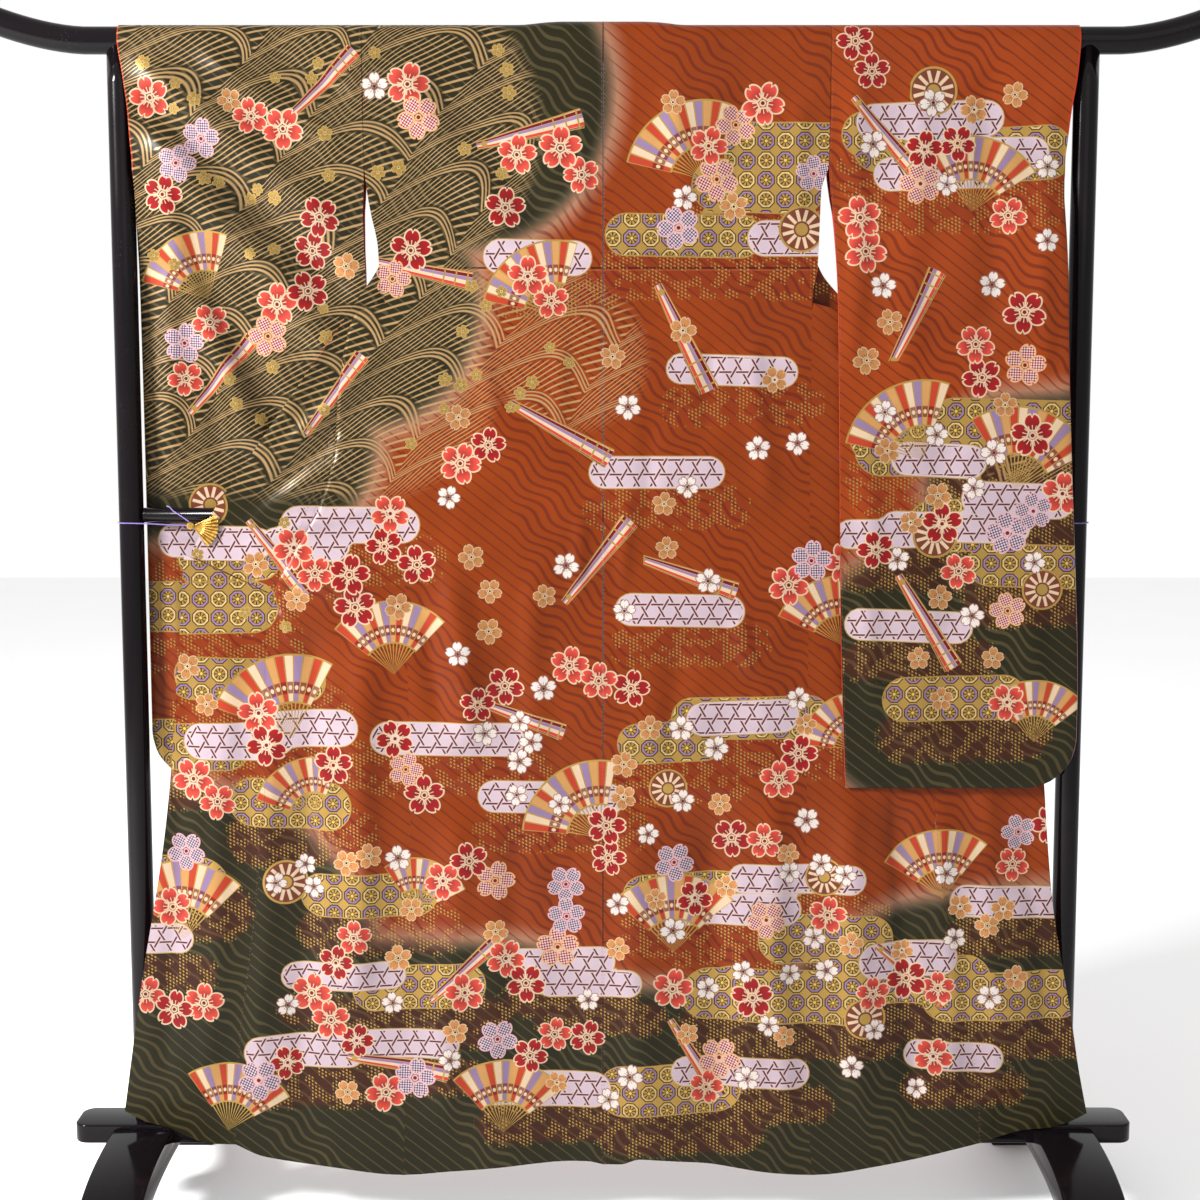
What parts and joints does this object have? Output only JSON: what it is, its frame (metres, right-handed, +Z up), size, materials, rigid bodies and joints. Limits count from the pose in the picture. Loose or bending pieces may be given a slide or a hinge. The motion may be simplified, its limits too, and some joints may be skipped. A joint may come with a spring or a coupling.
{
  "type": "furisode kimono on a kimono stand",
  "caption": "Long-sleeved silk furisode kimono hung back side out over the round top bar of a black lacquered kimono stand, fronts spread to the sides.",
  "frame": {"origin": "centre of the stand at floor level, under the middle of the whole object's box", "axes": "+X along the top bar towards the kimono's right-hand side as seen from its back, -Y the side its back faces, +Z up"},
  "size_m": [1.761, 0.58, 1.7175],
  "materials": {
    "silk": "satin",
    "lacquer": "gloss lacquer",
    "gold_clip": "satin",
    "purple_string": "matte"
  },
  "bodies": {
    "root": {"body_left": "silk", "body_right": "silk", "overlap_left": "silk", "overlap_right": "silk", "collar": "silk", "sleeve_left": "silk", "sleeve_right": "silk", "top_bar": "lacquer", "middle_rail": "lacquer", "bottom_board": "lacquer", "post_left": "lacquer", "post_right": "lacquer", "foot_left": "lacquer", "foot_right": "lacquer", "clip_left": "gold_clip", "clip_right": "gold_clip", "string_post_left": "purple_string", "string_rail_left": "purple_string", "string_post_right": "purple_string", "string_rail_right": "purple_string"}
  },
  "joints": []
}
